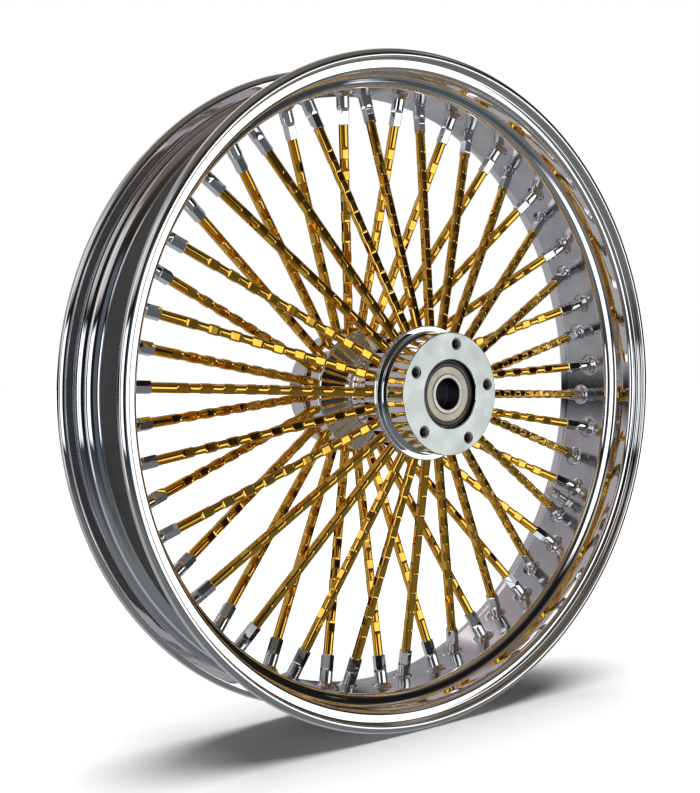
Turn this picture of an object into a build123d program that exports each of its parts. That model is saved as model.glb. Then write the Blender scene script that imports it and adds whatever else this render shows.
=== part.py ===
from build123d import *
import math
import os

# A 21 inch laced front wheel of a motorcycle, without tyre, axle or brake rotors.
# Millimetres. The origin is the wheel's centre, +Y is the axle's axis and +Z is up.
# Looking along +Y, the side at negative Y is the right side and the other is the left.

os.makedirs("parts", exist_ok=True)

# ---------------------------------------------------------------- driving dimensions

# rim: 3.50 x 21, rolled from sheet
sheet = 3.0
bead_seat_radius = 267.45
flange_height = 14.05
width_between_flanges = 88.6
curl_width = 10.4
curl_drop = 7.0
bead_seat_rise = 0.85
well_radius = 258.0
well_half_width = 25.0
well_offset = 2.5
well_wall_run = 3.5
bead_seat_edge = 2.0

# lacing: radial, one side after the other round the rim
spokes_per_side = 26
right_phase = -4.93
left_phase = 2.2
lacing_line = 3.0
seat_stagger = 3.4
seat_reference_radius = 250.0
hub_reference_radius = 50.0
hub_reference_offset = 44.6

# nipple seats pressed into the well
seat_ball_radius = 10.3
seat_rise = 4.5
seat_sheet = 2.2
nipple_play = 0.15

# nipples
nipple_radius = 5.5
nipple_hex = 9.5
nipple_hex_length = 12.0
nipple_end_radius = 229.5
nipple_ball_radius = 8.05
nipple_head_drop = 1.9
counterbore_depth = 3.0
counterbore_cone = 1.0
nipple_fit = 0.05

# spokes
spoke_radius = 4.1
spoke_thread_radius = 3.1
spoke_head_radius = 4.9
spoke_head_length = 3.5
spoke_head_drop = 1.5
spoke_head_chamfer = (0.7, 1.2)
spoke_shoulder_gap = 0.2
spoke_thread_drop = 2.0

# hub
hub_overall = 159.0
drum_radius = 50.4
ring_radius = 56.0
ring_inner_edge = 48.3
ring_outer_edge = 52.6
ring_groove = 0.7
barrel_radius = 30.0
barrel_half_length = 16.0
spoke_wall_radius = 53.0
spoke_wall_thickness = 6.5
spoke_wall_inner_edge = 31.0
core_face = 52.0
pocket_floor = 39.6
pocket_inner_radius = 39.0
pocket_relief = 1.0
slot_width = 8.6
slot_overlap = (1.5, 3.5, 3.0)
spigot_radius = 28.0
core_bore_radius = 19.0
cap_face_gap = 0.05
cap_lip_gap = 0.15

# brake rotor faces: five 5/16 inch threads on a 3.25 inch circle
rotor_circle = 82.55
rotor_thread = 7.94
rotor_hole_depth = 22.0
rotor_hole_count = 5
rotor_phase = 10.0
rotor_chamfer = 1.0

# bearings: 25.4 x 52 x 15, sealed on both sides
axle_bore = 25.4
bearing_outside = 52.0
bearing_width = 15.0
bearing_face = 76.0
inner_ring_outside = 32.6
outer_ring_inside = 44.6
ball_count = 9
ball_diameter = 7.94
ball_circle = 38.6
ball_play = 0.05
ring_corner = 0.5
seal_corner = 0.3
seal_thickness = 1.3
seal_inset = 0.4
seal_gap = 0.3
cage_inner_radius = 17.9
cage_outer_radius = 20.6
cage_back = 5.2
cage_front = 2.2
cage_corner = 0.3
pocket_play = 0.15
spacer_play = 0.3
spacer_step = 0.6
spacer_corner = 0.4

# tyre valve, screwed into the well between two nipples
valve_angle = 116.35
valve_hole_radius = 4.25
valve_stem_radius = 3.85
valve_bore_radius = 2.6
valve_tip_radius = 230.5
valve_tip_chamfer = 0.5
valve_flange_radius = 8.5
valve_flange_thickness = 2.0
valve_flange_chamfer = 0.6
grommet_thickness = 2.0
grommet_squeeze = 0.3
grommet_lift = 0.25
valve_nut_hex = 10.0
valve_nut_height = 4.0
valve_nut_rounding = (5.8, 5.2, 0.5)
valve_nut_lift = 0.15

# the valve's screwed-in core and its pin
core_end_radius = 232.0
core_thread_length = 5.0
core_cone_length = 1.0
core_barrel_length = 6.0
core_barrel_radius = 2.1
core_pin_bore = 1.2
pin_end_radius = 231.2
pin_radius = 0.6
pin_cup_radius = 1.9
pin_cup_thickness = 2.1
pin_cup_gap = 0.3

# valve cap
cap_end_radius = 228.0
cap_open_radius = 239.0
cap_outside = 4.9
cap_play = 0.35
cap_chamfer = 1.2
cap_roof = 1.6
flute_count = 12
flute_radius = 0.5
flute_depth = 0.25
flute_length = 7.0
flute_start = 1.0

# rim band over the nipple heads
band_thickness = 1.8
band_half_width = 22.0
band_clearance = 0.05
band_corner = 0.6
band_valve_hole = 10.0

# how far cutters run past the surfaces that they cut
overrun = 1.0

RIGHT = -1
LEFT = 1

# ---------------------------------------------------------------- helpers


def turned(outline, radii):
    """Solid of revolution about Y from a closed outline of (radius, y) corners."""
    section = make_face(FilletPolyline(*outline, radius=radii, close=True))
    return revolve(section, Axis.Y)


def ring(inner, outer, y_from, y_to, corner=0.0):
    """Plain ring about Y, with its four corners rounded."""
    outline = [(inner, y_from), (outer, y_from), (outer, y_to), (inner, y_to)]
    return turned(outline, [corner] * 4)


def spun(outline):
    """Solid of revolution about Z from a closed outline of (radius, z) corners."""
    section = make_face(Polyline(*[(r, 0, z) for r, z in outline], close=True))
    return revolve(section, Axis.Z)


def hexagon(across_flats, z_from, z_to):
    """Hexagonal prism about Z."""
    plan = RegularPolygon(across_flats / 2, 6, major_radius=False)
    return Pos(0, 0, z_from) * extrude(plan, amount=z_to - z_from)


def radial(angle):
    """Unit vector from the axle outwards, at an angle clockwise from +Z towards +X."""
    return Vector(math.sin(math.radians(angle)), 0, math.cos(math.radians(angle)))


def tangent(angle):
    """Unit vector round the wheel at the same place."""
    return Vector(math.cos(math.radians(angle)), 0, -math.sin(math.radians(angle)))


def group(solids):
    """Separate solids that share one node."""
    return Compound(list(solids))


# ---------------------------------------------------------------- lacing geometry

hub_side_radius = well_radius - sheet
seat_centre_radius = hub_side_radius - seat_rise + seat_ball_radius


def spoke_angles(side):
    phase = right_phase if side == RIGHT else left_phase
    return [phase + 360.0 * k / spokes_per_side for k in range(spokes_per_side)]


def spoke_y(side, radius):
    """Where a spoke's centre line stands along Y, at a radius."""
    at_hub = side * hub_reference_offset
    at_rim = lacing_line - side * seat_stagger
    run = (radius - hub_reference_radius) / (seat_reference_radius - hub_reference_radius)
    return at_hub + (at_rim - at_hub) * run


def spoke_lean(side):
    """Length along the spoke for each millimetre of radius."""
    rise = spoke_y(side, seat_reference_radius) - spoke_y(side, hub_reference_radius)
    run = seat_reference_radius - hub_reference_radius
    return math.hypot(rise, run) / run


def along_spoke(side, radius):
    """Distance from the seat's centre, along the spoke, to a radius nearer the hub."""
    return (radius - seat_centre_radius) * spoke_lean(side)


def spoke_plane(side, angle):
    """Frame of one spoke: origin at its seat's centre, Z outwards along the spoke."""
    out = radial(angle)
    origin = out * seat_centre_radius + Vector(0, spoke_y(side, seat_centre_radius), 0)
    inner = out * hub_reference_radius + Vector(0, spoke_y(side, hub_reference_radius), 0)
    return Plane(origin=origin, x_dir=tangent(angle), z_dir=origin - inner)


def seat_plane(side, angle):
    """Frame of one pressed seat, square to the well: Z points straight out."""
    out = radial(angle)
    origin = out * seat_centre_radius + Vector(0, spoke_y(side, seat_centre_radius), 0)
    return Plane(origin=origin, x_dir=tangent(angle), z_dir=out)


def laced(side, piece):
    """One copy of a piece for each spoke of a side."""
    return [spoke_plane(side, angle) * piece for angle in spoke_angles(side)]


# ---------------------------------------------------------------- rim


def rim_profile():
    """Closed section of the rolled rim: corners as (radius, y) and the rounding of each."""
    wall_slope = math.hypot(well_wall_run, bead_seat_radius - well_radius)
    wall_shift = sheet * (wall_slope - well_wall_run) / (bead_seat_radius - well_radius)
    flange = width_between_flanges / 2
    top = bead_seat_radius + flange_height
    toe = bead_seat_radius - bead_seat_rise
    points = []
    radii = []
    for side in (RIGHT, LEFT):
        well_edge = side * well_offset + well_half_width + bead_seat_edge
        half = [
            (hub_side_radius, well_edge, 6.0),
            (toe - sheet, well_edge + well_wall_run, 4.5),
            (bead_seat_radius - sheet, flange + sheet, 3.5),
            (top - curl_drop, flange + sheet, 2.6),
            (top - curl_drop, flange + curl_width, 1.4),
            (top, flange + curl_width, curl_width / 2 - 0.1),
            (top, flange, curl_width / 2 - 0.1),
            (bead_seat_radius, flange, 3.0),
            (toe, well_edge + well_wall_run - wall_shift, 7.5),
            (well_radius, well_edge - wall_shift, 3.0),
        ]
        if side == RIGHT:
            half.reverse()
        points += [(r, side * y) for r, y, _ in half]
        radii += [corner for _, _, corner in half]
    return points, radii


def make_rim():
    rim = turned(*rim_profile())
    boss_base = math.sqrt(seat_ball_radius**2 - (seat_centre_radius - hub_side_radius) ** 2)
    boss_height = seat_centre_radius - hub_side_radius - sheet / 2
    ball_box = Box(2 * seat_ball_radius, 2 * seat_ball_radius, 2 * seat_ball_radius)
    boss = Sphere(seat_ball_radius) & Pos(0, 0, -boss_height - seat_ball_radius) * ball_box
    boss += Pos(0, 0, -boss_height - sheet / 4) * Cylinder(boss_base, sheet / 2)
    recess = Sphere(seat_ball_radius - seat_sheet)
    hole_radius = nipple_radius + nipple_play
    hole = Pos(0, 0, -seat_ball_radius) * Cylinder(hole_radius, 2 * seat_ball_radius)
    bosses = []
    cuts = []
    for side in (RIGHT, LEFT):
        for angle in spoke_angles(side):
            bosses.append(seat_plane(side, angle) * boss)
            cuts.append(spoke_plane(side, angle) * recess)
            cuts.append(spoke_plane(side, angle) * hole)
    cuts.append(valve_plane() * Pos(0, 0, -well_radius) * Cylinder(valve_hole_radius, 6 * sheet))
    return rim.fuse(*bosses).cut(*cuts)


def make_rim_band():
    inner = well_radius + band_clearance
    low = well_offset - band_half_width
    high = well_offset + band_half_width
    band = ring(inner, inner + band_thickness, low, high, band_corner)
    hole = Pos(0, 0, -well_radius) * Cylinder(band_valve_hole, 10 * band_thickness)
    return band - valve_plane() * hole


# ---------------------------------------------------------------- spokes and nipples


def make_nipple(side):
    """Round body with a ball head in the rim and a hexagon at the hub end."""
    end = along_spoke(side, nipple_end_radius)
    hex_top = end + nipple_hex_length
    head_top = along_spoke(side, well_radius - nipple_head_drop)
    body = Pos(0, 0, (end + head_top) / 2) * Cylinder(nipple_radius, head_top - end)
    skirt = hexagon(nipple_hex, end, hex_top)
    upper = Pos(0, 0, (hex_top + head_top) / 2) * Cylinder(2 * nipple_radius, head_top - hex_top)
    head = Sphere(nipple_ball_radius)
    below_top = Box(4 * nipple_radius, 4 * nipple_radius, 2 * nipple_ball_radius)
    head &= Pos(0, 0, head_top - nipple_ball_radius) * below_top
    nipple = (body & (skirt + upper)) + head
    counterbore = end + counterbore_depth
    entry = spoke_radius + nipple_fit
    thread = spoke_thread_radius + nipple_fit
    nipple -= spun(
        [
            (0, end - overrun),
            (entry, end - overrun),
            (entry, counterbore),
            (thread, counterbore + counterbore_cone),
            (thread, head_top + overrun),
            (0, head_top + overrun),
        ]
    )
    return nipple


def make_spoke(side):
    """Straight headed spoke: head inside the hub's wall, thread inside the nipple."""
    nipple_end = along_spoke(side, nipple_end_radius)
    shoulder = nipple_end + counterbore_depth - spoke_shoulder_gap
    thread_end = along_spoke(side, well_radius - nipple_head_drop) - spoke_thread_drop
    seat = along_spoke(side, spoke_wall_radius - spoke_wall_thickness - spoke_head_drop)
    head_end = seat - spoke_head_length
    chamfer_in, chamfer_up = spoke_head_chamfer
    return spun(
        [
            (0, head_end),
            (spoke_head_radius - chamfer_in, head_end),
            (spoke_head_radius, head_end + chamfer_up),
            (spoke_head_radius, seat),
            (spoke_radius, seat),
            (spoke_radius, shoulder),
            (spoke_thread_radius, shoulder + counterbore_cone),
            (spoke_thread_radius, thread_end),
            (0, thread_end),
        ]
    )


# ---------------------------------------------------------------- hub


def make_hub_core():
    """Barrel with a slotted spoke wall at each end and the bearing seats."""
    core = ring(core_bore_radius, barrel_radius, -barrel_half_length, barrel_half_length)
    wall_inside = spoke_wall_radius - spoke_wall_thickness
    bearing_back = bearing_face - bearing_width
    cuts = []
    for side in (RIGHT, LEFT):
        outline = [
            (core_bore_radius, 0),
            (barrel_radius, 0),
            (barrel_radius, side * barrel_half_length),
            (spoke_wall_radius, side * spoke_wall_inner_edge),
            (spoke_wall_radius, side * core_face),
            (wall_inside, side * core_face),
            (wall_inside, side * pocket_floor),
            (pocket_inner_radius, side * pocket_floor),
            (pocket_inner_radius, side * core_face),
            (spigot_radius, side * core_face),
            (spigot_radius, side * bearing_face),
            (bearing_outside / 2, side * bearing_face),
            (bearing_outside / 2, side * bearing_back),
            (core_bore_radius, side * bearing_back),
        ]
        radii = [0, 0, 14.0, 5.0, 0, 0, 1.0, 1.0, 0, 0, 0, 0, 0, 0]
        core += turned(outline, radii)
        cuts += [spoke_plane(side, a) * slot_tool(side) for a in spoke_angles(side)]
    return core.cut(*cuts)


def slot_tool(side):
    """Cutter for one spoke's slot: round at the bottom and open towards the wheel's side."""
    inside, outside, sideways = slot_overlap
    low = along_spoke(side, spoke_wall_radius - spoke_wall_thickness - inside)
    high = along_spoke(side, spoke_wall_radius + outside)
    length = high - low
    reach = core_face + sideways - abs(spoke_y(side, hub_reference_radius))
    bottom = Pos(0, 0, low + length / 2) * Cylinder(slot_width / 2, length)
    mouth = Pos(0, -side * reach / 2, low + length / 2) * Box(slot_width, reach, length)
    return bottom + mouth


def make_hub_cap(side):
    """Drum that closes the spoke slots, with the ring, the rotor face and its threads."""
    face = hub_overall / 2
    back = core_face + cap_face_gap
    mid = (ring_inner_edge + ring_outer_edge) / 2
    lip = spoke_wall_radius + cap_lip_gap
    wall_inside = spoke_wall_radius - spoke_wall_thickness
    outline = [
        (spigot_radius, side * back),
        (pocket_inner_radius, side * back),
        (pocket_inner_radius, side * (core_face + pocket_relief)),
        (wall_inside, side * (core_face + pocket_relief)),
        (wall_inside, side * back),
        (lip, side * back),
        (lip, side * ring_inner_edge),
        (ring_radius, side * ring_inner_edge),
        (ring_radius, side * (mid - ring_groove)),
        (ring_radius - ring_groove, side * mid),
        (ring_radius, side * (mid + ring_groove)),
        (ring_radius, side * ring_outer_edge),
        (drum_radius, side * ring_outer_edge),
        (drum_radius, side * face),
        (spigot_radius, side * face),
    ]
    radii = [0] * 7 + [0.6, 0.2, 0.2, 0.2, 0.6, 1.2, 0.8, 1.0]
    cap = turned(outline, radii)
    hole = spun(
        [
            (0, overrun),
            (rotor_thread / 2 + rotor_chamfer + overrun, overrun),
            (rotor_thread / 2, -rotor_chamfer),
            (rotor_thread / 2, -rotor_hole_depth),
            (0, -rotor_hole_depth - rotor_thread / 4),
        ]
    )
    holes = []
    for k in range(rotor_hole_count):
        angle = math.radians(rotor_phase + 360.0 * k / rotor_hole_count)
        x = rotor_circle / 2 * math.cos(angle)
        z = rotor_circle / 2 * math.sin(angle)
        place = Plane(origin=(x, side * face, z), x_dir=(1, 0, 0), z_dir=(0, side, 0))
        holes.append(place * hole)
    return cap.cut(*holes)


# ---------------------------------------------------------------- bearings


def bearing_middle(side):
    return side * (bearing_face - bearing_width / 2)


def ball_track(side):
    """Torus that both rings' grooves are cut with."""
    centre = Plane(origin=(0, bearing_middle(side), 0), z_dir=(0, 1, 0))
    return centre * Torus(ball_circle / 2, ball_diameter / 2 + ball_play)


def make_inner_ring(side):
    low, high = sorted((side * (bearing_face - bearing_width), side * bearing_face))
    return ring(axle_bore / 2, inner_ring_outside / 2, low, high, ring_corner) - ball_track(side)


def make_outer_ring(side):
    low, high = sorted((side * (bearing_face - bearing_width), side * bearing_face))
    return ring(outer_ring_inside / 2, bearing_outside / 2, low, high, ring_corner) - ball_track(side)


def make_seal(side, outward):
    """Rubber-lipped seal held in the outer ring, clear of the inner ring."""
    face = bearing_width / 2 - seal_inset
    a = bearing_middle(side) + outward * face
    b = bearing_middle(side) + outward * (face - seal_thickness)
    low, high = sorted((a, b))
    inner = inner_ring_outside / 2 + seal_gap
    return ring(inner, outer_ring_inside / 2, low, high, seal_corner)


def make_balls(side):
    balls = []
    for k in range(ball_count):
        angle = 360.0 * k / ball_count
        place = radial(angle) * (ball_circle / 2) + Vector(0, bearing_middle(side), 0)
        balls.append(Pos(place) * Sphere(ball_diameter / 2))
    return group(balls)


def make_cage(side):
    """Crown cage: a ring on one side of the balls, with an open pocket round each."""
    a = bearing_middle(side) - side * cage_back
    b = bearing_middle(side) + side * cage_front
    low, high = sorted((a, b))
    cage = ring(cage_inner_radius, cage_outer_radius, low, high, cage_corner)
    pocket = Cylinder(ball_diameter / 2 + pocket_play, 2 * ball_diameter)
    pockets = []
    for k in range(ball_count):
        out = radial(360.0 * k / ball_count)
        origin = out * (ball_circle / 2) + Vector(0, bearing_middle(side), 0)
        pockets.append(Plane(origin=origin, z_dir=out) * pocket)
    return cage.cut(*pockets)


def make_bearing_spacer():
    reach = bearing_face - bearing_width
    inner = axle_bore / 2 + spacer_play
    outer = inner_ring_outside / 2 - spacer_step
    return ring(inner, outer, -reach, reach, spacer_corner)


# ---------------------------------------------------------------- tyre valve


def valve_plane():
    """Frame of the valve: origin on the axle's axis, Z pointing from the rim to the hub."""
    return Plane(
        origin=(0, lacing_line, 0), x_dir=tangent(valve_angle), z_dir=radial(valve_angle) * -1
    )


def make_valve_grommet():
    """Sealing washer between the stem's flange and the well."""
    inner = valve_hole_radius - grommet_squeeze
    top = -well_radius - grommet_lift
    bottom = top - grommet_thickness
    outline = [
        (inner, bottom),
        (valve_flange_radius, bottom),
        (valve_flange_radius, top),
        (inner, top),
    ]
    return valve_plane() * spun(outline)


def make_valve_stem():
    """Metal stem: a flange on the tyre's side and a bored shank towards the hub."""
    under = -well_radius - grommet_lift - grommet_thickness - cap_face_gap
    back = under - valve_flange_thickness
    tip = -valve_tip_radius
    return valve_plane() * spun(
        [
            (valve_bore_radius, back),
            (valve_flange_radius - valve_flange_chamfer, back),
            (valve_flange_radius, back + valve_flange_chamfer),
            (valve_flange_radius, under),
            (valve_stem_radius, under),
            (valve_stem_radius, tip - valve_tip_chamfer),
            (valve_stem_radius - valve_tip_chamfer, tip),
            (valve_bore_radius, tip),
        ]
    )


def make_valve_nut():
    """Hexagon nut that draws the stem's flange against the well."""
    base = -hub_side_radius + valve_nut_lift
    top = base + valve_nut_height
    corner, crown, crown_height = valve_nut_rounding
    nut = hexagon(valve_nut_hex, base, top)
    nut &= spun(
        [
            (0, base),
            (corner, base),
            (corner, top - crown_height),
            (crown, top),
            (0, top),
        ]
    )
    bore = Cylinder(valve_stem_radius + nipple_fit, 4 * valve_nut_height)
    return valve_plane() * (nut - Pos(0, 0, base) * bore)


def make_valve_core():
    """Barrel of the replaceable core, screwed into the stem's bore."""
    end = -core_end_radius
    thread = end - core_thread_length
    cone = thread - core_cone_length
    back = cone - core_barrel_length
    return valve_plane() * spun(
        [
            (core_pin_bore, back),
            (core_barrel_radius, back),
            (core_barrel_radius, cone),
            (valve_bore_radius, thread),
            (valve_bore_radius, end),
            (core_pin_bore, end),
        ]
    )


def make_valve_pin():
    """Pin of the core: pressed from the hub side, its cup leaves the core's end."""
    core_length = core_thread_length + core_cone_length + core_barrel_length
    cup = -core_end_radius - core_length - pin_cup_gap
    return valve_plane() * spun(
        [
            (0, cup - pin_cup_thickness),
            (pin_cup_radius, cup - pin_cup_thickness),
            (pin_cup_radius, cup),
            (pin_radius, cup),
            (pin_radius, -pin_end_radius),
            (0, -pin_end_radius),
        ]
    )


def make_valve_cap():
    """Closed cap with a grip of flutes, screwed over the stem's tip."""
    bore = valve_stem_radius + cap_play
    end = -cap_end_radius
    cap = spun(
        [
            (bore, -cap_open_radius),
            (cap_outside, -cap_open_radius),
            (cap_outside, end - cap_chamfer),
            (cap_outside - cap_chamfer, end),
            (0, end),
            (0, end - cap_roof),
            (bore, end - cap_roof),
        ]
    )
    flute = Cylinder(flute_radius, flute_length)
    middle = -cap_open_radius + flute_start + flute_length / 2
    flutes = []
    for k in range(flute_count):
        turn = Rot(0, 0, 360.0 * k / flute_count)
        flutes.append(turn * Pos(cap_outside + flute_depth, 0, middle) * flute)
    return valve_plane() * cap.cut(*flutes)


# ---------------------------------------------------------------- the nodes


def build_nodes():
    nodes = {
        "rim": make_rim(),
        "rim_band": make_rim_band(),
        "hub_core": make_hub_core(),
        "bearing_spacer": make_bearing_spacer(),
        "valve_grommet": make_valve_grommet(),
        "valve_stem": make_valve_stem(),
        "valve_nut": make_valve_nut(),
        "valve_core": make_valve_core(),
        "valve_pin": make_valve_pin(),
        "valve_cap": make_valve_cap(),
    }
    for side, name in ((RIGHT, "right"), (LEFT, "left")):
        nodes["hub_cap_" + name] = make_hub_cap(side)
        nodes["spokes_" + name] = group(laced(side, make_spoke(side)))
        nodes["nipples_" + name] = group(laced(side, make_nipple(side)))
        nodes["bearing_inner_ring_" + name] = make_inner_ring(side)
        nodes["bearing_outer_ring_" + name] = make_outer_ring(side)
        nodes["bearing_balls_" + name] = make_balls(side)
        nodes["bearing_cage_" + name] = make_cage(side)
        nodes["bearing_seal_outer_" + name] = make_seal(side, side)
        nodes["bearing_seal_inner_" + name] = make_seal(side, -side)
    return nodes


for node, shape in build_nodes().items():
    export_step(shape, "parts/" + node + ".step")
    print(node, len(shape.solids()), round(shape.volume, 1))
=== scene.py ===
import math
import random

import bpy
import numpy as np
from mathutils import Matrix, Vector


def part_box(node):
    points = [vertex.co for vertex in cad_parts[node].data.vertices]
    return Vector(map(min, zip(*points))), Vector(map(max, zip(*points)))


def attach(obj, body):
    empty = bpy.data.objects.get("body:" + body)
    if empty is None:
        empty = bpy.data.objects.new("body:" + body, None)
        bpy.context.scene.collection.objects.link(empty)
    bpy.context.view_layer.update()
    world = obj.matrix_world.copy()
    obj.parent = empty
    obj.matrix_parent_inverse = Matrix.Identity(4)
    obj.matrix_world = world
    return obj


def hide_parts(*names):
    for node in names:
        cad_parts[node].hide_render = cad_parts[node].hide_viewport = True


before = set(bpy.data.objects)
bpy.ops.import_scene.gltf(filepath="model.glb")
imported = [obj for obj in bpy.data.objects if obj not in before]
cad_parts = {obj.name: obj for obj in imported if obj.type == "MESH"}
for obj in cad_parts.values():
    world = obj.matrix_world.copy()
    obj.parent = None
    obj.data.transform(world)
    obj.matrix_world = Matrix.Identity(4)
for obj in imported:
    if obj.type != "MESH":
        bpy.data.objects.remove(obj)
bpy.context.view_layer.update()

# ---------------------------------------------------------------- sizes, in millimetres as in the CAD part

MM = 0.001
RIGHT = -1
LEFT = 1
SIDE_NAME = {RIGHT: "right", LEFT: "left"}

SHEET = 3.0
BEAD_SEAT_RADIUS = 267.45
FLANGE_HEIGHT = 14.05
WIDTH_BETWEEN_FLANGES = 88.6
CURL_WIDTH = 10.4
CURL_DROP = 7.0
BEAD_SEAT_RISE = 0.85
SEAT_HOLLOW = 1.3
SEAT_ROUND = 22.0
WELL_RADIUS = 258.0
HUB_SIDE_RADIUS = WELL_RADIUS - SHEET
WELL_OFFSET = 2.5
WELL_EDGE = 27.0
WELL_WALL_RUN = 3.5
WELL_CORNER = 6.0

SPOKES_PER_SIDE = 26
PHASE = {RIGHT: -4.93, LEFT: 2.2}
LACING_LINE = 3.0
SEAT_STAGGER = 3.4
HUB_REFERENCE = (50.0, 44.6)
SEAT_REFERENCE = 250.0
SEAT_BALL = 10.3
SEAT_CENTRE = HUB_SIDE_RADIUS - 4.5 + SEAT_BALL

SPOKE_RADIUS = 4.1
NIPPLE_RADIUS = 5.5
NIPPLE_FLAT = 4.75
NIPPLE_END = 229.5
NIPPLE_HEX_LENGTH = 12.0

VALVE_ANGLE = 116.35


def spoke_angles(side):
    return [PHASE[side] + 360.0 * k / SPOKES_PER_SIDE for k in range(SPOKES_PER_SIDE)]


def radial(angle):
    return Vector((math.sin(math.radians(angle)), 0.0, math.cos(math.radians(angle))))


def tangent(angle):
    return Vector((math.cos(math.radians(angle)), 0.0, -math.sin(math.radians(angle))))


def spoke_y(side, radius):
    at_hub = side * HUB_REFERENCE[1]
    at_rim = LACING_LINE - side * SEAT_STAGGER
    return at_hub + (at_rim - at_hub) * (radius - HUB_REFERENCE[0]) / (SEAT_REFERENCE - HUB_REFERENCE[0])


def spoke_lean(side):
    rise = spoke_y(side, SEAT_REFERENCE) - spoke_y(side, HUB_REFERENCE[0])
    run = SEAT_REFERENCE - HUB_REFERENCE[0]
    return math.hypot(rise, run) / run


def along(side, radius):
    """Distance along the spoke from its seat's centre to a radius nearer the hub."""
    return (radius - SEAT_CENTRE) * spoke_lean(side)


def frame_matrix(origin, z_axis, x_hint, turn=0.0):
    """Placement in metres: origin in millimetres, Z along z_axis, turned about Z by turn."""
    z = z_axis.normalized()
    y = z.cross(x_hint).normalized()
    x = y.cross(z)
    place = Matrix((x, y, z)).transposed().to_4x4()
    place.translation = origin * MM
    return place @ Matrix.Rotation(turn, 4, "Z")


def spoke_matrix(side, angle, turn=0.0):
    origin = radial(angle) * SEAT_CENTRE + Vector((0, spoke_y(side, SEAT_CENTRE), 0))
    inner = radial(angle) * HUB_REFERENCE[0] + Vector((0, spoke_y(side, HUB_REFERENCE[0]), 0))
    return frame_matrix(origin, origin - inner, tangent(angle), turn)


# ---------------------------------------------------------------- mesh makers


def rounded(corners, step, support=0.3):
    """Dense closed outline from (r, y, corner radius) points. Each corner becomes an arc of steps
    of that many degrees, with a point just outside each end, so that smooth shading leaves the
    flats flat."""
    count = len(corners)
    points = []
    for i, (r, y, radius) in enumerate(corners):
        here = np.array((r, y), float)
        before = np.array(corners[i - 1][:2], float) - here
        after = np.array(corners[(i + 1) % count][:2], float) - here
        room = min(np.linalg.norm(before), np.linalg.norm(after))
        before /= np.linalg.norm(before)
        after /= np.linalg.norm(after)
        turn = math.pi - math.acos(np.clip(before @ after, -1, 1))
        if radius <= 0 or turn < 1e-4:
            points.append(here)
            continue
        reach = radius * math.tan(turn / 2)
        spare = min(support, max(room - reach, 0) * 0.3)
        bisector = (before + after) / np.linalg.norm(before + after)
        centre = here + bisector * radius / math.cos(turn / 2)
        start = here + before * reach
        steps = max(2, math.ceil(math.degrees(turn) / step))
        from_centre = start - centre
        sense = np.sign(from_centre[0] * (-before)[1] - from_centre[1] * (-before)[0])
        if spare > 0.01:
            points.append(here + before * (reach + spare))
        for k in range(steps + 1):
            a = sense * turn * k / steps
            turned = np.array(
                (
                    math.cos(a) * from_centre[0] - math.sin(a) * from_centre[1],
                    math.sin(a) * from_centre[0] + math.cos(a) * from_centre[1],
                )
            )
            points.append(centre + turned)
        if spare > 0.01:
            points.append(here + after * (reach + spare))
    return points


def signed_area(points):
    p = np.array(points)
    q = np.roll(p, -1, 0)
    return 0.5 * float((p[:, 0] * q[:, 1] - q[:, 0] * p[:, 1]).sum())


def grid_faces(rows, columns, close_rows, close_columns, flip):
    """Quads over a grid of rows by columns, wrapped where asked."""
    faces = []
    for i in range(rows if close_rows else rows - 1):
        for j in range(columns if close_columns else columns - 1):
            a = i * columns + j
            b = ((i + 1) % rows) * columns + j
            c = ((i + 1) % rows) * columns + (j + 1) % columns
            d = i * columns + (j + 1) % columns
            faces.append((a, d, c, b) if flip else (a, b, c, d))
    return faces


def new_mesh(name, vertices, faces, sharp=None):
    mesh = bpy.data.meshes.new(name)
    mesh.from_pydata([tuple(v) for v in np.asarray(vertices) * MM], [], faces)
    mesh.update()
    mesh.polygons.foreach_set("use_smooth", [True] * len(mesh.polygons))
    if sharp is not None:
        mesh.set_sharp_from_angle(angle=math.radians(sharp))
    return mesh


def new_object(name, mesh, material, body, replaced=(), matrix=None):
    """A piece of the visual model: shown, placed, riding on its body."""
    piece = bpy.data.objects.new(name, mesh)
    bpy.context.scene.collection.objects.link(piece)
    if matrix is not None:
        piece.matrix_world = matrix
    if not mesh.materials:
        mesh.materials.append(material)
    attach(piece, body)
    if replaced:
        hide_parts(*replaced)
    return piece


def lathe_mesh(name, outline, segments, closed=True, ccw=None, sharp=40.0):
    """Surface of revolution about Y from (r, y) points."""
    angles = np.linspace(0, 2 * math.pi, segments, endpoint=False)
    p = np.array(outline)
    r = p[:, 0][:, None]
    y = np.repeat(p[:, 1][:, None], segments, 1)
    vertices = np.stack([r * np.sin(angles), y, r * np.cos(angles)], -1).reshape(-1, 3)
    if ccw is None:
        ccw = signed_area(outline) > 0
    faces = grid_faces(len(p), segments, closed, True, ccw)
    return new_mesh(name, vertices, faces, sharp)


def polar_mesh(name, stations, around, radius_at, sharp=30.0):
    """Closed body along Z: at each station z, the radius is radius_at(angles, z).
    A station may be (z, share): the ring is then drawn in to that share, to close or hollow an end."""
    angles = np.linspace(0, 2 * math.pi, around, endpoint=False)
    rings = []
    for station in stations:
        z, share = station if isinstance(station, tuple) else (station, 1.0)
        rr = radius_at(angles, z) * share
        rings.append(np.stack([rr * np.cos(angles), rr * np.sin(angles), np.full(around, z)], -1))
    vertices = np.concatenate(rings)
    faces = grid_faces(len(rings), around, False, True, True)
    bottom = tuple(reversed(range(around)))
    top = tuple((len(rings) - 1) * around + k for k in range(around))
    faces += [bottom, top]
    return new_mesh(name, vertices, faces, sharp)


# ---------------------------------------------------------------- materials

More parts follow.
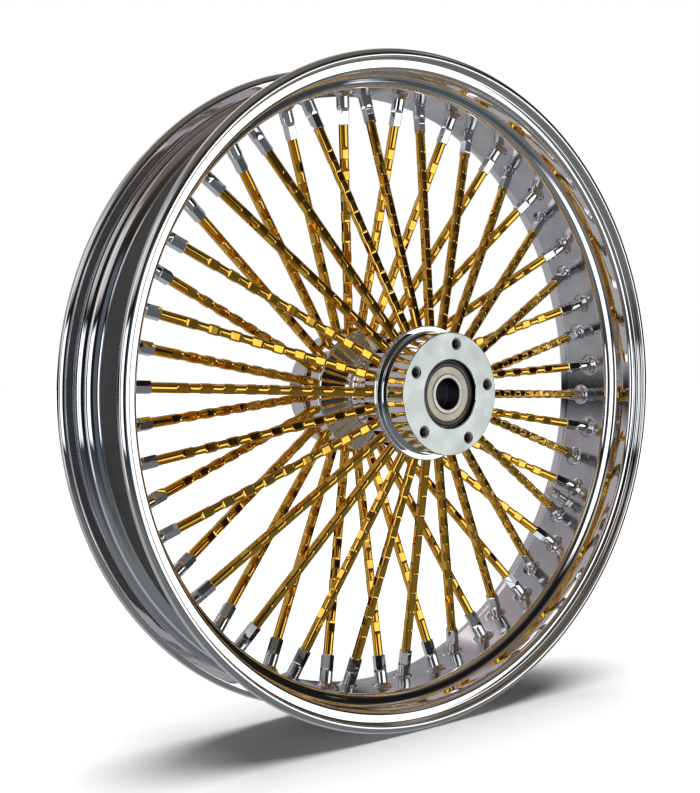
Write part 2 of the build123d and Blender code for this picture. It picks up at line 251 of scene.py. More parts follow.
# noise scales are per metre, depths in metres
PATCH_DETAIL = 5.0
FINE_DETAIL = 2.0
PLATE_PATCHES = 38.0
PLATE_FINE = 900.0
PLATE_WORN_FROM = 0.12
PLATE_WORN_TO = 0.45
TURNED_PATCHES = 60.0
MOULDED_PATCHES = 70.0
ROLL_LINE_SCALE = 260.0
ROLL_LINE_DEPTH = 0.00006


def material(name):
    m = bpy.data.materials.new(name)
    m.use_nodes = True
    return m, m.node_tree.nodes, m.node_tree.links, m.node_tree.nodes["Principled BSDF"]


def noise(nodes, links, scale, detail):
    """Noise in the piece's own space."""
    coordinates = nodes.new("ShaderNodeTexCoord")
    texture = nodes.new("ShaderNodeTexNoise")
    texture.inputs["Scale"].default_value = scale
    texture.inputs["Detail"].default_value = detail
    links.new(coordinates.outputs["Object"], texture.inputs["Vector"])
    return texture.outputs["Fac"]


def between(nodes, links, factor, low, high, from_low=0.3, from_high=0.7):
    """A number that runs from low to high as factor does between its limits."""
    mapped = nodes.new("ShaderNodeMapRange")
    mapped.inputs["From Min"].default_value = from_low
    mapped.inputs["From Max"].default_value = from_high
    mapped.inputs["To Min"].default_value = low
    mapped.inputs["To Max"].default_value = high
    links.new(factor, mapped.inputs["Value"])
    return mapped.outputs["Result"]


def blend_colour(nodes, links, factor, first, second):
    mix = nodes.new("ShaderNodeMix")
    mix.data_type = "RGBA"
    mix.inputs[6].default_value = (*first, 1)
    mix.inputs[7].default_value = (*second, 1)
    links.new(factor, mix.inputs["Factor"])
    return mix.outputs[2]


def bump(nodes, links, height, distance, shader):
    node = nodes.new("ShaderNodeBump")
    node.inputs["Strength"].default_value = 1.0
    node.inputs["Distance"].default_value = distance
    links.new(height, node.inputs["Height"])
    links.new(node.outputs["Normal"], shader.inputs["Normal"])


def plated(name, bright, dull, smooth, worn, ripple=0.00002, ripple_scale=45.0):
    """Plated metal: faint waves in the plate, and patches where it is a little duller."""
    m, nodes, links, shader = material(name)
    shader.inputs["Metallic"].default_value = 1.0
    patches = noise(nodes, links, PLATE_PATCHES, PATCH_DETAIL)
    fine = noise(nodes, links, PLATE_FINE, FINE_DETAIL)
    together = nodes.new("ShaderNodeMath")
    together.operation = "MULTIPLY"
    links.new(patches, together.inputs[0])
    links.new(fine, together.inputs[1])
    share = together.outputs[0]
    roughness = between(nodes, links, share, smooth, worn, PLATE_WORN_FROM, PLATE_WORN_TO)
    links.new(roughness, shader.inputs["Roughness"])
    tone = between(nodes, links, patches, 0.0, 1.0)
    links.new(blend_colour(nodes, links, tone, bright, dull), shader.inputs["Base Color"])
    waves = noise(nodes, links, ripple_scale, FINE_DETAIL)
    bump(nodes, links, waves, ripple, shader)
    return m


def axle_distance(nodes, links):
    """Distance from the axle of a shaded point, and the node with its X, Y and Z."""
    parts = nodes.new("ShaderNodeSeparateXYZ")
    links.new(nodes.new("ShaderNodeTexCoord").outputs["Object"], parts.inputs["Vector"])
    across = nodes.new("ShaderNodeCombineXYZ")
    links.new(parts.outputs["X"], across.inputs["X"])
    links.new(parts.outputs["Z"], across.inputs["Y"])
    length = nodes.new("ShaderNodeVectorMath")
    length.operation = "LENGTH"
    links.new(across.outputs["Vector"], length.inputs[0])
    return length.outputs["Value"], parts


def rolled(name, bright, dull, smooth, worn):
    """Plated sheet that still shows faint lines from the rolls, which run round the axle."""
    m = plated(name, bright, dull, smooth, worn)
    nodes, links = m.node_tree.nodes, m.node_tree.links
    shader = nodes["Principled BSDF"]
    distance, parts = axle_distance(nodes, links)
    section = nodes.new("ShaderNodeCombineXYZ")
    links.new(distance, section.inputs["X"])
    links.new(parts.outputs["Y"], section.inputs["Y"])
    lines = nodes.new("ShaderNodeTexNoise")
    lines.inputs["Scale"].default_value = ROLL_LINE_SCALE
    lines.inputs["Detail"].default_value = FINE_DETAIL
    links.new(section.outputs["Vector"], lines.inputs["Vector"])
    waves = shader.inputs["Normal"].links[0].from_node
    grooves = nodes.new("ShaderNodeBump")
    grooves.inputs["Strength"].default_value = 1.0
    grooves.inputs["Distance"].default_value = ROLL_LINE_DEPTH
    links.new(lines.outputs["Fac"], grooves.inputs["Height"])
    links.new(waves.outputs["Normal"], grooves.inputs["Normal"])
    links.new(grooves.outputs["Normal"], shader.inputs["Normal"])
    return m


def turned_metal(name, colour, dull, smooth, worn, pitch, depth):
    """Metal with fine tool rings about the axle."""
    m, nodes, links, shader = material(name)
    shader.inputs["Metallic"].default_value = 1.0
    distance, _ = axle_distance(nodes, links)
    rings = nodes.new("ShaderNodeMath")
    rings.operation = "MULTIPLY"
    rings.inputs[1].default_value = 2 * math.pi / pitch
    links.new(distance, rings.inputs[0])
    wave = nodes.new("ShaderNodeMath")
    wave.operation = "SINE"
    links.new(rings.outputs[0], wave.inputs[0])
    patches = noise(nodes, links, TURNED_PATCHES, PATCH_DETAIL)
    roughness = between(nodes, links, patches, smooth, worn)
    links.new(roughness, shader.inputs["Roughness"])
    tone = between(nodes, links, patches, 0.0, 1.0)
    links.new(blend_colour(nodes, links, tone, colour, dull), shader.inputs["Base Color"])
    bump(nodes, links, wave.outputs[0], depth, shader)
    return m


def moulded(name, colour, second, smooth, worn, grain_scale, grain_depth):
    """Plastic or rubber with a fine grain and slightly uneven colour."""
    m, nodes, links, shader = material(name)
    patches = noise(nodes, links, MOULDED_PATCHES, PATCH_DETAIL)
    tone = between(nodes, links, patches, 0.0, 1.0)
    links.new(blend_colour(nodes, links, tone, colour, second), shader.inputs["Base Color"])
    links.new(between(nodes, links, patches, smooth, worn), shader.inputs["Roughness"])
    grain = noise(nodes, links, grain_scale, FINE_DETAIL)
    bump(nodes, links, grain, grain_depth, shader)
    return m


CHROME = rolled("rim_chrome", (0.88, 0.88, 0.89), (0.82, 0.82, 0.83), 0.015, 0.05)
# The rim's chrome, rougher, with its base colour darkened as painted shade in the well.
WELL_CHROME_PAINTED_SHADE = plated("well_chrome_painted_shade", (0.66, 0.65, 0.68), (0.52, 0.51, 0.54), 0.10, 0.24, 0.00004, 160.0)
NIPPLE_CHROME = plated("nipple_chrome", (0.88, 0.88, 0.89), (0.78, 0.78, 0.80), 0.02, 0.06)
HUB_CHROME = plated("hub_chrome", (0.88, 0.88, 0.89), (0.80, 0.80, 0.82), 0.02, 0.05)
GOLD = plated("spoke_gold", (0.90, 0.53, 0.08), (0.82, 0.45, 0.055), 0.03, 0.08, 0.000003, 300.0)
FACE = turned_metal("rotor_face", (0.52, 0.555, 0.545), (0.485, 0.515, 0.505), 0.24, 0.34, 0.0004, 0.000003)
STEEL = turned_metal("bearing_steel", (0.50, 0.50, 0.48), (0.40, 0.40, 0.39), 0.2, 0.32, 0.0003, 0.000002)
# Bearing steel darkened near to black as painted shade, for the outer bearing ring, the hub cap's recess wall
# and the hub core's bearing seats.
STEEL_PAINTED_SHADE = turned_metal("steel_painted_shade", (0.08, 0.075, 0.07), (0.04, 0.037, 0.034), 0.25, 0.4, 0.0003, 0.000002)
# Steel darkened as painted shade, for the threaded walls of the rotor holes.
THREAD_PAINTED_SHADE = turned_metal("thread_steel_painted_shade", (0.20, 0.19, 0.17), (0.12, 0.11, 0.10), 0.25, 0.4, 0.0003, 0.000002)
CAGE = turned_metal("cage_steel", (0.55, 0.55, 0.57), (0.42, 0.42, 0.44), 0.3, 0.45, 0.0005, 0.000002)
SPACER = turned_metal("spacer_aluminium", (0.68, 0.68, 0.70), (0.55, 0.55, 0.57), 0.3, 0.42, 0.0005, 0.000004)
SEAL = moulded("seal_cream", (0.40, 0.37, 0.29), (0.31, 0.285, 0.22), 0.34, 0.55, 1200.0, 0.00003)
BAND = moulded("band_rubber", (0.018, 0.017, 0.018), (0.035, 0.033, 0.034), 0.38, 0.6, 900.0, 0.00006)
GROMMET = moulded("grommet_rubber", (0.02, 0.02, 0.02), (0.04, 0.04, 0.04), 0.4, 0.6, 1500.0, 0.00004)
NICKEL = plated("valve_nickel", (0.74, 0.73, 0.72), (0.60, 0.59, 0.58), 0.08, 0.2)
BRASS = plated("valve_brass", (0.75, 0.56, 0.24), (0.55, 0.40, 0.16), 0.15, 0.3)


# ---------------------------------------------------------------- rim


def rim_half(side):
    """One side of the rim's section, from the well's hub side round to its tyre side, as rows of
    radius, y and corner radius."""
    slope = math.hypot(WELL_WALL_RUN, BEAD_SEAT_RADIUS - WELL_RADIUS)
    shift = SHEET * (slope - WELL_WALL_RUN) / (BEAD_SEAT_RADIUS - WELL_RADIUS)
    flange = WIDTH_BETWEEN_FLANGES / 2
    top = BEAD_SEAT_RADIUS + FLANGE_HEIGHT
    toe = BEAD_SEAT_RADIUS - BEAD_SEAT_RISE
    edge = WELL_EDGE + side * WELL_OFFSET
    curl = CURL_WIDTH / 2 - 0.05
    mid_seat = (edge + WELL_WALL_RUN + flange + SHEET) / 2
    half = [
        (HUB_SIDE_RADIUS, edge, WELL_CORNER),
        (toe - SHEET, edge + WELL_WALL_RUN, 4.5),
        (BEAD_SEAT_RADIUS - SHEET + SEAT_HOLLOW, mid_seat, SEAT_ROUND),
        (BEAD_SEAT_RADIUS - SHEET, flange + SHEET, 3.5),
        (top - CURL_DROP, flange + SHEET, 2.6),
        (top - CURL_DROP, flange + CURL_WIDTH, 1.4),
        (top, flange + CURL_WIDTH, curl),
        (top, flange, curl),
        (BEAD_SEAT_RADIUS, flange, 3.0),
        (toe, edge + WELL_WALL_RUN - shift, 7.5),
        (WELL_RADIUS, edge - shift, 3.0),
    ]
    return [(r, side * y, corner) for r, y, corner in half]


def well_span():
    """Where the well's flat hub side starts and ends along Y, between its rounded corners."""
    limits = []
    for side in (RIGHT, LEFT):
        turn = math.atan2(BEAD_SEAT_RADIUS - BEAD_SEAT_RISE - WELL_RADIUS, WELL_WALL_RUN)
        limits.append(side * (WELL_EDGE + side * WELL_OFFSET - WELL_CORNER * math.tan(turn / 2)))
    return limits


def make_rim():
    left = rim_half(LEFT)
    right = list(reversed(rim_half(RIGHT)))
    outline = rounded(left + right, step=4.0)
    opened = outline_without_floor(outline)
    shell = lathe_mesh("rim_shell", opened, 720, closed=False, ccw=True, sharp=60)
    new_object("rim_shell", shell, CHROME, "wheel", ["rim"])


def outline_without_floor(outline):
    """The section's outline, opened across the flat hub side of the well."""
    low, high = well_span()
    keep = [p for p in outline if abs(p[0] - HUB_SIDE_RADIUS) > 1e-6 or not low < p[1] < high]

    def distance_to_edge(i):
        return abs(keep[i][0] - HUB_SIDE_RADIUS) + abs(keep[i][1] - high)

    start = min(range(len(keep)), key=distance_to_edge)
    return keep[start:] + keep[:start]


def make_well():
    """Hub side of the well, with a round seat pressed out of it under each nipple."""
    around = 1440
    rows = 44
    blend = 1.6
    low, high = well_span()
    ys = np.linspace(low, high, rows)
    angles = np.linspace(0, 2 * math.pi, around, endpoint=False)
    grid_a, grid_y = np.meshgrid(angles, ys)
    radius = np.full(grid_a.shape, HUB_SIDE_RADIUS)
    for side in (RIGHT, LEFT):
        centre_y = spoke_y(side, SEAT_CENTRE)
        for angle in spoke_angles(side):
            offset = (grid_a - math.radians(angle) + math.pi) % (2 * math.pi) - math.pi
            gap = np.hypot(offset * HUB_SIDE_RADIUS, grid_y - centre_y)
            near = gap < SEAT_BALL
            dome = SEAT_CENTRE - np.sqrt(np.maximum(SEAT_BALL**2 - gap**2, 0.01))
            h = np.clip(0.5 + 0.5 * (HUB_SIDE_RADIUS - dome) / blend, 0, 1)
            smooth = HUB_SIDE_RADIUS * (1 - h) + dome * h - blend * h * (1 - h)
            edge = (np.abs(grid_y - low) < 0.1) | (np.abs(grid_y - high) < 0.1)
            radius = np.where(near & ~edge, np.minimum(radius, smooth), radius)
    vertices = np.stack([radius * np.sin(grid_a), grid_y, radius * np.cos(grid_a)], -1)
    faces = grid_faces(rows, around, False, True, True)
    mesh = new_mesh("rim_well", vertices.reshape(-1, 3), faces)
    # The well's chrome is darkened as painted shade.
    new_object("rim_well", mesh, WELL_CHROME_PAINTED_SHADE, "wheel", ["rim"])


def make_band():
    """Rubber band over the nipple heads, with a thin bead along each edge."""
    inner = WELL_RADIUS + 0.05
    half = 22.0
    corners = [
        (inner, WELL_OFFSET - half, 0.5),
        (inner, WELL_OFFSET + half, 0.5),
        (inner + 1.5, WELL_OFFSET + half, 0.6),
        (inner + 1.7, WELL_OFFSET + half - 3.0, 0.6),
        (inner + 1.3, WELL_OFFSET + half - 5.0, 0.8),
        (inner + 1.3, WELL_OFFSET - half + 5.0, 0.8),
        (inner + 1.7, WELL_OFFSET - half + 3.0, 0.6),
        (inner + 1.5, WELL_OFFSET - half, 0.6),
    ]
    mesh = lathe_mesh("rim_band_fine", rounded(corners, step=15), 540)
    new_object("rim_band_fine", mesh, BAND, "wheel", ["rim_band"])


# ---------------------------------------------------------------- spokes and nipples

FACET_PITCH = 18.0
FACET_DEPTH = 0.92
FACET_LENGTH = 10.6
FACET_SQUARENESS = 10.0
SPOKE_TURN = 13.0
SPOKE_TURN_SPREAD = 3.0
NIPPLE_TURN = 15.0
NIPPLE_TURN_SPREAD = 5.0
FACET_ROWS = 4
FACETS_FROM = 66.0
STATION_GAP = 0.75
PLAIN_BY_NIPPLE = 21.0
SPOKE_HEAD_FROM = 41.5
SPOKE_HEAD_TO = 45.0
SPOKE_HEAD_RADIUS = 4.9


def spoke_mesh(side):
    """Diamond-cut spoke: four rows of long flat facets with short rounded run-outs, each row half
    a pitch off the next."""
    nipple_end = along(side, NIPPLE_END)
    hub_end = along(side, SPOKE_HEAD_TO)
    head = along(side, SPOKE_HEAD_FROM)
    first = along(side, FACETS_FROM)
    last = nipple_end - PLAIN_BY_NIPPLE

    def radius_at(angles, z):
        rr = np.full(angles.shape, SPOKE_RADIUS)
        for row in range(FACET_ROWS):
            turn = angles - 2 * math.pi * row / FACET_ROWS
            shift = 0.5 * (row % 2)
            cell = (z - first) / FACET_PITCH - shift
            middle = first + (math.floor(cell) + 0.5 + shift) * FACET_PITCH
            if not first <= middle <= last:
                continue
            scoop = 1 - (abs(z - middle) / (0.5 * FACET_LENGTH)) ** FACET_SQUARENESS
            flat = SPOKE_RADIUS - FACET_DEPTH * max(scoop, 0.0)
            reach = np.maximum(np.cos(turn), 0.05)
            rr = np.minimum(rr, flat / reach)
        if z < hub_end - 0.01:
            rr = rr * 0 + SPOKE_HEAD_RADIUS
        return rr

    stations = [(head, 0.82), head + 1.0, hub_end - 0.02]
    stations += [(hub_end - 0.015, SPOKE_RADIUS / SPOKE_HEAD_RADIUS), hub_end + 1]
    stations += list(np.linspace(hub_end + 4, first - FACET_PITCH / 2, 6))
    cut_from = first - FACET_PITCH / 2 + STATION_GAP
    stations += list(np.arange(cut_from, last + FACET_PITCH / 2, STATION_GAP))
    stations += list(np.linspace(last + FACET_PITCH / 2 + 0.7, nipple_end + 2.0, 6))
    return polar_mesh("spoke_" + SIDE_NAME[side], stations, 48, radius_at, 22.0)


def nipple_mesh(side):
    """Hexagon whose flats run out in arches into the round body, and a ball head in the rim."""
    end = along(side, NIPPLE_END)
    arch_start = end + NIPPLE_HEX_LENGTH - 1.0
    arch_length = 3.4
    neck = along(side, HUB_SIDE_RADIUS)
    top = along(side, WELL_RADIUS - 1.9)

    def radius_at(angles, z):
        rr = np.full(angles.shape, NIPPLE_RADIUS)
        rise = np.clip((z - arch_start) / arch_length, 0, 1)
        flat = NIPPLE_FLAT + (NIPPLE_RADIUS + 0.02 - NIPPLE_FLAT) * rise**2
        if rise < 1:
            sector = (angles + math.pi / 6) % (math.pi / 3) - math.pi / 6
            rr = np.minimum(rr, flat / np.cos(sector))
        if z < end + 0.5:
            rr = rr - (end + 0.5 - z)
        return rr

    stations = [(end + 2.5, 0.86), (end + 0.3, 0.80), (end, 0.86), end, end + 0.25, end + 0.5]
    stations += [end + 0.8, end + 3.0, end + 6.0, end + 9.0]
    stations += list(np.linspace(arch_start - 0.3, arch_start + arch_length, 16))
    stations += list(np.linspace(arch_start + arch_length + 0.3, neck, 6))
    stations += [neck + 1.0, top]
    return polar_mesh("nipple_" + SIDE_NAME[side], stations, 96, radius_at, 20.0)


def make_lacing():
    """One spoke and one nipple at each angle, turned a little about their own axes."""
    draw = random.Random(52)
    for side in (RIGHT, LEFT):
        name = SIDE_NAME[side]
        spoke = spoke_mesh(side)
        nipple = nipple_mesh(side)
        for k, angle in enumerate(spoke_angles(side)):
            # angle is in degrees, so this cosine mixes the two leans without a pattern
            lean = SPOKE_TURN if math.cos(angle) >= 0 else -SPOKE_TURN
            spoke_spread = draw.uniform(-SPOKE_TURN_SPREAD, SPOKE_TURN_SPREAD)
            nipple_spread = draw.uniform(-NIPPLE_TURN_SPREAD, NIPPLE_TURN_SPREAD)
            spoke_turn = math.radians(lean + spoke_spread)
            nipple_turn = math.radians(NIPPLE_TURN + nipple_spread)
            tag = f"{name}_{k + 1:02d}"
            new_object(
                "spoke_" + tag, spoke, GOLD, "wheel", ["spokes_" + name],
                spoke_matrix(side, angle, spoke_turn),
            )
            new_object(
                "nipple_" + tag, nipple, NIPPLE_CHROME, "wheel", ["nipples_" + name],
                spoke_matrix(side, angle, nipple_turn),
            )


# ---------------------------------------------------------------- hub

DRUM_RADIUS = 50.4
RING_RADIUS = 56.0
RING_EDGES = (48.3, 52.6)
HUB_FACE = 79.5
SPIGOT_RADIUS = 28.0
CORE_FACE = 52.0
SPOKE_WALL = 53.0
BEARING_FACE = 76.0
ROTOR_CIRCLE = 82.55
ROTOR_HOLE = 3.97
ROTOR_PHASE = 10.0
ROTOR_COUNT = 5
ROTOR_CHAMFER = 0.75
THREAD_CLEARANCE = 0.35
THREAD_PITCH = 1.41
THREAD_HEIGHT = 0.75
THREAD_TURNS = 14
THREAD_FROM = -21.0
THREAD_LENGTH = 20.2
HEAD_POCKET_OUTER = 46.5
HEAD_POCKET_INNER = 39.0
HEAD_POCKET_FLOOR = 39.6
BARREL_RADIUS = 30.0
CORE_BORE = 19.0
BEARING_WIDTH = 15.0
BEARING_OUTSIDE = 26.0
SLOT_HALF_WIDTH = 4.3
SLOT_REACH = 12.0


def mirrored(corners, side):
    """Corners given for the left side, for either side."""
    if side == LEFT:
        return corners
    return [(r, -y, c) for r, y, c in reversed(corners)]


def cut_away(piece, tools):
    """Takes the tools' volume out of the piece, and removes the tools."""
    for tool in tools:
        modifier = piece.modifiers.new("cut", "BOOLEAN")
        modifier.operation = "DIFFERENCE"
        modifier.solver = "EXACT"
        modifier.object = tool
    depsgraph = bpy.context.evaluated_depsgraph_get()
    result = bpy.data.meshes.new_from_object(piece.evaluated_get(depsgraph))
    piece.modifiers.clear()
    piece.data = result
    for tool in tools:
        bpy.data.objects.remove(tool)


def plain_object(name, mesh, matrix=None):
    """Cutter that isn't a piece of the model."""
    tool = bpy.data.objects.new(name, mesh)
    bpy.context.scene.collection.objects.link(tool)
    if matrix is not None:
        tool.matrix_world = matrix
    return tool


def rotor_hole_matrix(side, k):
    angle = math.radians(ROTOR_PHASE + 360 / ROTOR_COUNT * k)
    centre = Vector((math.cos(angle), 0, math.sin(angle))) * ROTOR_CIRCLE / 2
    centre.y = side * HUB_FACE
    return frame_matrix(centre, Vector((0, side, 0)), Vector((1, 0, 0)))


def make_hub_cap(side):
    name = SIDE_NAME[side]
    middle = sum(RING_EDGES) / 2
    groove = 0.75
    corners = [
        (SPIGOT_RADIUS, CORE_FACE + 0.05, 0.2),
        (SPOKE_WALL + 0.15, CORE_FACE + 0.05, 0.2),
        (SPOKE_WALL + 0.15, RING_EDGES[0], 0.2),
        (RING_RADIUS, RING_EDGES[0], 0.9),
        (RING_RADIUS, middle - groove, 0.45),
        (RING_RADIUS - groove, middle, 0.25),
        (RING_RADIUS, middle + groove, 0.45),
        (RING_RADIUS, RING_EDGES[1], 0.9),
        (DRUM_RADIUS, RING_EDGES[1], 1.4),
        (DRUM_RADIUS, HUB_FACE, 0.8),
        (SPIGOT_RADIUS, HUB_FACE, 1.1),
    ]
    outline = rounded(mirrored(corners, side), step=10)
    mesh = lathe_mesh(f"hub_cap_{name}_fine", outline, 256, sharp=50)
    cap = new_object(f"hub_cap_{name}_fine", mesh, HUB_CHROME, "wheel", ["hub_cap_" + name])
    tools = []

    def hole(angles, z):
        return np.full(angles.shape, ROTOR_HOLE + THREAD_CLEARANCE + max(0.0, z + ROTOR_CHAMFER))

    for k in range(ROTOR_COUNT):
        mesh = polar_mesh("hole", [-22.0, -ROTOR_CHAMFER, 1.0], 48, hole)
        tools.append(plain_object("hole", mesh, rotor_hole_matrix(side, k)))
    cut_away(cap, tools)
    cap.data.materials.clear()
    cap.data.materials.append(HUB_CHROME)
    cap.data.materials.append(FACE)
    cap.data.materials.append(STEEL_PAINTED_SHADE)
    # The flat face takes the satin face finish, and the recess wall takes steel darkened as painted shade.
    for polygon in cap.data.polygons:
        flat_face = abs(polygon.normal.y) > 0.99 and abs(polygon.center.y) > (HUB_FACE - 0.1) * MM
        in_painted_shade_recess = math.hypot(polygon.center.x, polygon.center.z) < (SPIGOT_RADIUS + 0.1) * MM
        polygon.material_index = 1 if flat_face else 2 if in_painted_shade_recess else 0
        polygon.use_smooth = True
    cap.data.set_sharp_from_angle(angle=math.radians(30))
    for k in range(ROTOR_COUNT):
        make_thread(side, k)


def make_thread(side, k):
    """Threaded wall of one rotor hole, in steel darkened as painted shade."""
    name = SIDE_NAME[side]
    around = 48
    rows = THREAD_TURNS * 6 + 1
    angles = np.linspace(0, 2 * math.pi, around, endpoint=False)
    vertices = []
    for i in range(rows):
        z = THREAD_FROM + i * (THREAD_LENGTH / (rows - 1))
        lift = np.abs(((z / THREAD_PITCH + angles / (2 * math.pi)) % 1.0) * 2 - 1)
        rr = ROTOR_HOLE - 0.6 + THREAD_HEIGHT * lift
        vertices.append(np.stack([rr * np.cos(angles), rr * np.sin(angles), np.full(around, z)], -1))
    outer = ROTOR_HOLE + 0.3
    for z in (-0.8, THREAD_FROM):
        ring = np.stack([outer * np.cos(angles), outer * np.sin(angles), np.full(around, z)], -1)
        vertices.append(ring)
    faces = grid_faces(rows + 2, around, True, True, False)
    mesh = new_mesh("rotor_thread", np.concatenate(vertices), faces, 40)
    new_object(
        f"rotor_thread_{name}_{k + 1}", mesh, THREAD_PAINTED_SHADE, "wheel", ["hub_cap_" + name],
        rotor_hole_matrix(side, k),
    )


def make_hub_core():
    """Chrome barrel with the two slotted spoke walls."""
    half = [
        (BARREL_RADIUS, 16.0, 14.0),
        (SPOKE_WALL, 31.0, 5.0),
        (SPOKE_WALL, CORE_FACE, 0.2),
        (HEAD_POCKET_OUTER, CORE_FACE, 0.2),
        (HEAD_POCKET_OUTER, HEAD_POCKET_FLOOR, 0.8),
        (HEAD_POCKET_INNER, HEAD_POCKET_FLOOR, 0.8),
        (HEAD_POCKET_INNER, CORE_FACE, 0.2),
        (SPIGOT_RADIUS, CORE_FACE, 0.2),
        (SPIGOT_RADIUS, BEARING_FACE, 0.6),
        (BEARING_OUTSIDE, BEARING_FACE, 0.3),
        (BEARING_OUTSIDE, BEARING_FACE - BEARING_WIDTH, 0.3),
        (CORE_BORE, BEARING_FACE - BEARING_WIDTH, 0.6),
    ]
    corners = half + list(reversed([(r, -y, c) for r, y, c in half]))
    mesh = lathe_mesh("hub_core_fine", rounded(corners, step=8), 312, sharp=45)
    core = new_object("hub_core_fine", mesh, HUB_CHROME, "wheel", ["hub_core"])
    tools = []
    for side in (RIGHT, LEFT):
        mesh = slot_mesh(side)
        for angle in spoke_angles(side):
            tools.append(plain_object("slot", mesh, spoke_matrix(side, angle)))
    joined = join_tools(tools)
    cut_away(core, [joined])
    core.data.polygons.foreach_set("use_smooth", [True] * len(core.data.polygons))
    core.data.set_sharp_from_angle(angle=math.radians(30))
    # The bearing seats take steel darkened as painted shade.
    core.data.materials.append(STEEL_PAINTED_SHADE)
    for polygon in core.data.polygons:
        if abs(polygon.center.y) > (BEARING_FACE - 1.0) * MM:
            polygon.material_index = 1


def join_tools(tools):
    """One object from several cutters that don't touch."""
    corners = []
    faces = []
    count = 0
    for tool in tools:
        co = np.array([tool.matrix_world @ v.co for v in tool.data.vertices])
        corners.append(co / MM)
        faces += [tuple(count + i for i in p.vertices) for p in tool.data.polygons]
        count += len(co)
        bpy.data.objects.remove(tool)
    return plain_object("cutters", new_mesh("cutters", np.concatenate(corners), faces))


def slot_mesh(side):
    """Cutter with a U-shaped section: round towards the barrel, open towards the wheel's side."""
    low = along(side, SPOKE_HEAD_TO)
    high = along(side, SPOKE_WALL + 3.5)
    width = SLOT_HALF_WIDTH
    section = [(width * math.cos(a), width * math.sin(a)) for a in np.linspace(0, math.pi, 17)]
    section += [(-width, -SLOT_REACH), (width, -SLOT_REACH)]
    section = [(x, side * y) for x, y in section]
    vertices = [(x, y, z) for z in (low, high) for x, y in section]
    n = len(section)
    faces = [tuple(range(n)), tuple(reversed(range(n, 2 * n)))]
    faces += [(i, n + i, n + (i + 1) % n, (i + 1) % n) for i in range(n)]
    return new_mesh("slot", vertices, faces)


# ---------------------------------------------------------------- bearings

INNER_BORE = 12.7
INNER_LAND = 16.3
OUTER_LAND = 22.3
GROOVE_HALF = 3.2
GROOVE_DEPTH = 1.0
GROOVE_ROUND = 3.5


def make_bearing(side):
    name = SIDE_NAME[side]
    low, high = BEARING_FACE - BEARING_WIDTH, BEARING_FACE
    middle = (low + high) / 2
    inner = [
        (INNER_BORE, low, 0.8),
        (INNER_LAND, low, 0.5),
        (INNER_LAND, middle - GROOVE_HALF, 0.2),
        (INNER_LAND - GROOVE_DEPTH, middle, GROOVE_ROUND),
        (INNER_LAND, middle + GROOVE_HALF, 0.2),
        (INNER_LAND, high, 0.5),
        (INNER_BORE, high, 0.8),
    ]
    outer = [
        (OUTER_LAND, low, 0.4),
        (BEARING_OUTSIDE, low, 0.8),
        (BEARING_OUTSIDE, high, 0.8),
        (OUTER_LAND, high, 0.4),
        (OUTER_LAND, middle + GROOVE_HALF, 0.2),
        (OUTER_LAND + GROOVE_DEPTH, middle, GROOVE_ROUND),
        (OUTER_LAND, middle - GROOVE_HALF, 0.2),
    ]
    seal_top = high - 0.4
    seal = [
        (16.6, seal_top - 1.3, 0.2), (OUTER_LAND, seal_top - 1.3, 0.2), (OUTER_LAND, seal_top, 0.2),
        (21.3, seal_top, 0.3), (20.9, seal_top - 0.45, 0.3), (17.9, seal_top - 0.45, 0.3),
        (17.4, seal_top - 0.05, 0.25), (16.6, seal_top - 0.15, 0.2),
    ]
    # The outer ring takes steel darkened as painted shade, and the inner ring takes plain bearing steel.
    rows = (
        ("bearing_inner_ring_", inner, STEEL, "axle_side", "bearing_steel"),
        ("bearing_outer_ring_", outer, STEEL_PAINTED_SHADE, "wheel", "bearing_steel"),
        ("bearing_seal_outer_", seal, SEAL, "wheel", "bearing_seal"),
    )
    for prefix, corners, finish, body, slot in rows:
        outline = rounded(mirrored(corners, side), step=12, support=0.15)
        mesh = lathe_mesh(prefix + name + "_fine", outline, 192, sharp=50)
        new_object(prefix + name + "_fine", mesh, finish, body, [prefix + name])


# ---------------------------------------------------------------- tyre valve

STEM_RADIUS = 3.85
STEM_HEAD_RADIUS = 8.5
STEM_THREAD_PITCH = 0.8
STEM_THREAD_DEPTH = 0.28
NUT_HALF_FLATS = 5.0
CAP_RADIUS = 4.9
CAP_FLUTES = 12
CAP_FLUTE_DEPTH = 0.35


def valve_matrix():
    origin = Vector((0, LACING_LINE, 0))
    return frame_matrix(origin, radial(VALVE_ANGLE) * -1, tangent(VALVE_ANGLE))


